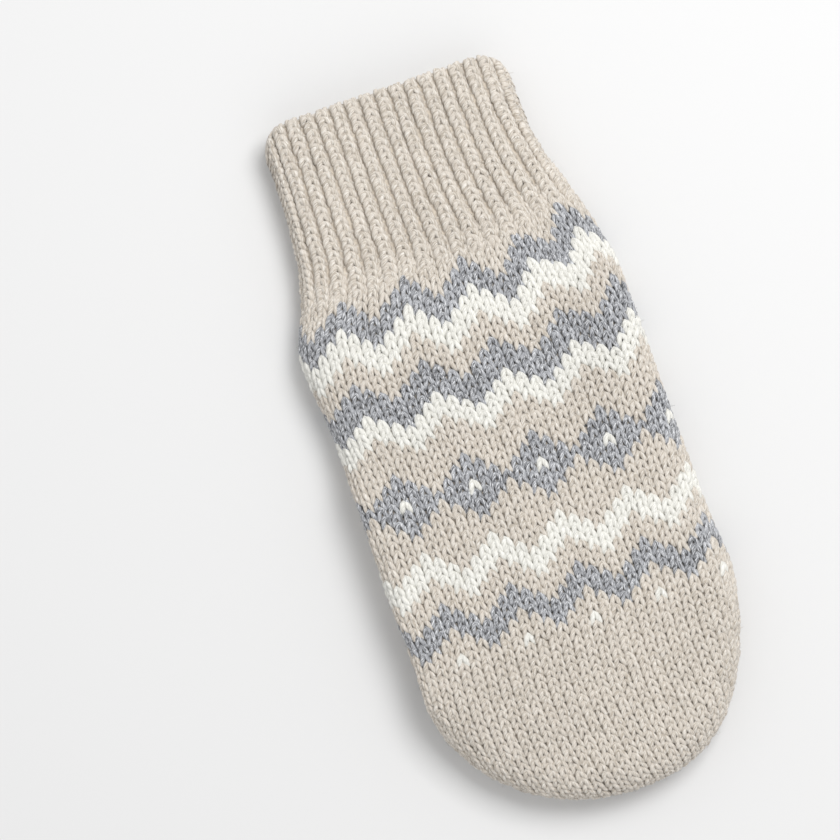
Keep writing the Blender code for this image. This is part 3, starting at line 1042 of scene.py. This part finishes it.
def shell(name, outer, inner, rows, closed_end, shift=None):
    """A closed wall of lining between two bags' surfaces."""
    count = LINING_CORNERS
    verts = []
    for bag in (outer, inner):
        at = np.linspace(0, len(bag.ys) - 1, rows)
        ys = np.interp(at, np.arange(len(bag.ys)), bag.ys)[:, None]
        share = np.linspace(-1, 1, count, endpoint=False)[None]
        run = share * bag.half_ring(share > 0, ys)
        points, _ = bag.at(run, np.repeat(ys, count, axis=1))
        verts.append(points)
    if shift is not None:
        verts = [shift(v) for v in verts]
    index = np.arange(rows * count).reshape(rows, count)
    after = np.roll(index, -1, axis=1)
    within = rows * count

    def band(a, b, c, d):
        return np.stack((a, b, c, d), axis=-1).reshape(-1, 4)

    outside = band(index[:-1], after[:-1], after[1:], index[1:])
    inside = band(index[:-1], index[1:], after[1:], after[:-1]) + within
    rim = band(index[0], index[0] + within, after[0] + within, after[0])
    faces = [outside, inside, rim]
    if closed_end:
        faces += [index[-1][None], index[-1][None, ::-1] + within]
    else:
        faces.append(band(index[-1], after[-1], after[-1] + within, index[-1] + within))
    return new_mesh(name, np.vstack([v.reshape(-1, 3) for v in verts]), faces, LINING)


def bag_between(bag, start, end):
    """The part of a bag between two places along it."""
    part = copy.copy(bag)
    keep = (bag.ys <= start + ROUNDING) & (bag.ys >= end - ROUNDING)
    part.ys, part.points, part.normals = bag.ys[keep], bag.points[keep], bag.normals[keep]
    part.half, part.upper = bag.half[:, keep], bag.upper[:, keep]
    return part


faces_of_wall = hand_bag(JOIN_Y, LINING_OUTSIDE), hand_bag(JOIN_Y, LINING_INSIDE)
for name, node, start, end, rows, closed in (
    ("hand_lining", "hand", JOIN_Y, FINGERS_Y, HAND_ROWS, False),
    ("fingers_lining", "fingers", FINGERS_Y, TIP_Y, FINGERS_ROWS, True),
):
    outer, inner = (bag_between(bag, start, end) for bag in faces_of_wall)
    piece = shell(name, outer, inner, rows, closed)
    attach(piece, "root")
    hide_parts(node)


# The thumb

thumb = thumb_bag(SLIT_Y + THUMB_ROOT, YARN)
thumb_columns = Columns(
    thumb, THUMB_COLUMNS, THUMB_COLUMNS / 2, THUMB_COLUMN, THUMB_TIP_Y + THUMB_TIP_LENGTH
)

# How far past the slit's edge the thumb's lower face starts, and how near the palm its upper face has
# to be to show, in radii of the yarn
LOWER_START = 0.001
SHOWS_BELOW = 1.2


def thumb_stitches():
    """Column and length along it of every stitch of the thumb that isn't inside the hand."""
    laid = []
    for c in range(-THUMB_COLUMNS // 2 + 1, THUMB_COLUMNS // 2 + 1):
        along, end = ROW / 2, thumb_columns.end(c)
        while along < end - ROOM_FOR_ROW * ROW:
            x, y, z = thumb_columns.point(c, along)
            under_palm = z + SHOWS_BELOW * YARN < palm_height(x, y)
            on_lower_face = z < THUMB_THICKNESS / 2 and y < SLIT_Y - LOWER_START
            if under_palm or on_lower_face:
                laid.append((c, along))
            along += ROW
    return np.array(laid)


columns, along = thumb_stitches().T
where = (thumb_columns.y_at, thumb_columns.run)
heights = np.full(len(columns), ROW)
verts, faces, uv = lay_stitches(thumb, columns, along, where, heights, ARCH, YARN)
piece = new_mesh("thumb_stitches", above_floor(verts), faces, YARNS["beige"], uv)
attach(piece, "root")

outer = thumb_bag(SLIT_Y - THUMB_ROOT, LINING_OUTSIDE)
inner = thumb_bag(SLIT_Y - THUMB_ROOT, LINING_INSIDE)
thumb_lining = shell("thumb_lining", outer, inner, THUMB_ROWS, True)
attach(thumb_lining, "root")
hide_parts("thumb")


# The cuff

# How far the cuff's ribs can run on past its join with the hand
RIBS_PAST_JOIN = 0.012

cuff = cuff_bag(JOIN_Y - RIBS_PAST_JOIN, RIB_YARN)


def cuff_run(column, y):
    """Distance round the cuff for a rib's column."""
    column, y = np.broadcast_arrays(np.asarray(column, float), np.asarray(y, float))
    return column / (RIB_COUNT / 2) * cuff.half_ring(column > 0, y)


def cuff_y(column, along):
    """Place along the mitten for a length along the cuff."""
    return RIM_Y - along + 0 * column


def drop_points(verts):
    """The rim's corners hang back a little."""
    moved = verts.copy()
    moved[..., 1] -= rim_drop(verts[..., 0], verts[..., 1])
    return moved


# How far before the hand's first row a rib's last stitch can lie, in rows of the hand, how uneven this
# is and over how many rows the rib sinks and narrows, in rows of the cuff, how deep it sinks, and how
# much of its width is left
BEFORE_HAND = 0.55
RAGGED = 0.35
SINKING_ROWS = 3
RIB_SINK = 0.0004
RIB_NARROWEST = 0.86

# How far the ribs wander sideways, in columns, how fast down the cuff and from one to the next, and how
# far from the rim this is at its full
WANDER = 0.02
WANDER_DOWN = 7
WANDER_ACROSS = 2.3
WANDER_FULL = 0.02


def cuff_end(column):
    """The last place for a stitch of a rib, whose legs then lie over the hand's first row."""
    share = column / (RIB_COUNT / 2) * (COLUMNS / 2)
    return FIRST_ROW_Y + row_bow(share, 0) + BEFORE_HAND * ROW


def lay_cuff(wales, half, yarn, end_shift, start, steps):
    """Stitches in the cuff's columns, which narrow and sink where the hand begins."""
    laid = []
    for column in wales:
        end = cuff_end(column) + end_shift + RAGGED * RIB_ROW * random.normal()
        along = start * RIB_ROW
        while RIM_Y - along > end:
            left = (RIM_Y - along - end) / (SINKING_ROWS * RIB_ROW)
            laid.append((column, along, min(1.0, left)))
            along += RIB_ROW
    columns, alongs, full = np.array(laid).T
    phase = alongs / CUFF_LENGTH * WANDER_DOWN + WANDER_ACROSS * columns
    wander = WANDER * np.sin(phase) * smooth_step(0, WANDER_FULL, alongs)
    verts, faces, uv = lay_stitches(
        cuff,
        columns + wander,
        alongs,
        (cuff_y, cuff_run),
        np.full(len(laid), RIB_ROW),
        half,
        yarn,
        lift=-RIB_SINK * (1 - full),
        size=RIB_NARROWEST + (1 - RIB_NARROWEST) * full,
        steps=steps,
    )
    return drop_points(verts), faces, uv


# Where the first rib and purl stitches lie, in rows from the rim, and how much earlier purls end
FIRST_RIB = 0.85
FIRST_PURL = 0.8
PURL_END = 0.4 * RIB_ROW

WALES = np.arange(RIB_COUNT) - RIB_COUNT / 2 + 1
for name, wales, half, yarn, end_shift, start, steps in (
    ("cuff_ribs", WALES, RIB_ARCH, RIB_YARN, 0.0, FIRST_RIB, BACK_STEPS),
    ("cuff_purls", WALES + 0.5, PURL, PURL_YARN, PURL_END, FIRST_PURL, PURL_STEPS),
):
    verts, faces, uv = lay_cuff(wales, half, yarn, end_shift, start, steps)
    if name == "cuff_ribs":
        fluff = hairs(verts, CUFF_FLUFF)
        piece = new_mesh("loose_fibres_cuff", above_floor(fluff[0]), fluff[1], YARNS["beige"], fluff[2])
        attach(piece, "root")
    piece = new_mesh(name, above_floor(verts), faces, YARNS["beige"], uv)
    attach(piece, "root")

# One loop of the rim, from the outer face over the edge to the inner one: along and down from the
# rim's outer line, in metres, and the share of the yarn's full radius
RimBend = namedtuple("RimBend", "along depth plump")
RIM_LOOP = (
    RimBend(0.0034, 0.0012, 0.70),
    RimBend(0.0018, 0.0004, 0.95),
    RimBend(0.0010, 0.0008, 1.00),
    RimBend(0.0009, 0.0016, 1.00),
    RimBend(0.0014, 0.0024, 0.95),
    RimBend(0.0032, 0.0028, 0.70),
)
RIM_LOOPS = 2 * RIB_COUNT

# How uneven the rim's loops are, along in metres, across in ribs and in thickness, and how far one
# leans from its first bend to its last, in ribs
RIM_UNEVEN = 0.0002
RIM_ACROSS = 0.04
RIM_THICKNESS = 0.04
RIM_SLANT = 0.12

bends = np.array(RIM_LOOP)
loops = RIB_COUNT * (np.arange(RIM_LOOPS) + 0.5) / RIM_LOOPS - RIB_COUNT / 2
jitter = random.normal(0, 1, (RIM_LOOPS, 3))
rim_y = RIM_Y - bends[None, :, 0] - RIM_UNEVEN * jitter[:, :1]
slant = RIM_SLANT * (np.arange(len(bends)) / (len(bends) - 1) - 0.5)
rim_columns = loops[:, None] + RIM_ACROSS * jitter[:, 1:2] + slant
points, normals = cuff.at(cuff_run(rim_columns, rim_y), rim_y)
points = points - normals * bends[None, :, 1, None]
outward = np.stack((0 * rim_y, 1 + 0 * rim_y, 0 * rim_y), axis=-1)
radii = RIM_YARN * bends[None, :, 2] * (1 + RIM_THICKNESS * jitter[:, 2:])
verts, faces, uv = tubes(points, normals + outward, radii)
piece = new_mesh("cuff_rim", above_floor(drop_points(verts)), faces, YARNS["beige"], uv)
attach(piece, "root")

# How far the cuff's lining stays behind the rim, and how much deeper its outer face is than the hand's
LINING_BEHIND_RIM = 0.0015
CUFF_LINING_DEEPER = 0.0004

depths = (LINING_OUTSIDE + CUFF_LINING_DEEPER, LINING_INSIDE)
outer, inner = (
    bag_between(cuff_bag(JOIN_Y, depth), RIM_Y - LINING_BEHIND_RIM, JOIN_Y) for depth in depths
)
cuff_lining = shell("cuff_lining", outer, inner, CUFF_ROWS, False, drop_points)
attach(cuff_lining, "root")
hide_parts("cuff")


# Floor, light and camera

# Half the floor's width, how light it is, and how bright the room's light is
FLOOR_REACH = 3
FLOOR_TONE = 0.755
ROOM_LIGHT = 0.67

scene = bpy.context.scene
corners = [(FLOOR_REACH * x, FLOOR_REACH * y, 0) for x, y in ((-1, -1), (1, -1), (1, 1), (-1, 1))]
floor_mesh = bpy.data.meshes.new("floor")
floor_mesh.from_pydata(corners, [], [(0, 1, 2, 3)])
floor = bpy.data.objects.new("floor", floor_mesh)
scene.collection.objects.link(floor)
paper, _, _, shader = new_material("paper", 0.9)
shader.inputs["Base Color"].default_value = neutral(FLOOR_TONE)
floor_mesh.materials.append(paper)

world = bpy.data.worlds.new("studio")
world.use_nodes = True
background = world.node_tree.nodes["Background"].inputs
background["Color"].default_value = neutral(1)
background["Strength"].default_value = ROOM_LIGHT
scene.world = world
scene.view_settings.view_transform = "Standard"

# A square light faces the middle of the mitten's footprint
LIGHT_PLACE = (0.50, 0.38, 1.20)
LIGHT_SIZE = 0.6
LIGHT_POWER = 11.8

lamp = bpy.data.lights.new("key", "AREA")
lamp.shape = "SQUARE"
lamp.size = LIGHT_SIZE
lamp.energy = LIGHT_POWER
key = bpy.data.objects.new("key", lamp)
key.location = LIGHT_PLACE
key.rotation_euler = (-key.location).to_track_quat("-Z", "Y").to_euler()
scene.collection.objects.link(key)

# The camera looks straight down, turned as the mitten lies in the photo
CAMERA_LENS = 135
CAMERA_PLACE = (-0.0265, 0.0163, 1.106)
CAMERA_TURN = math.radians(-19)

camera_data = bpy.data.cameras.new("camera")
camera_data.lens = CAMERA_LENS
camera = bpy.data.objects.new("camera", camera_data)
camera.location = CAMERA_PLACE
camera.rotation_euler = (0, 0, CAMERA_TURN)
scene.collection.objects.link(camera)
scene.camera = camera
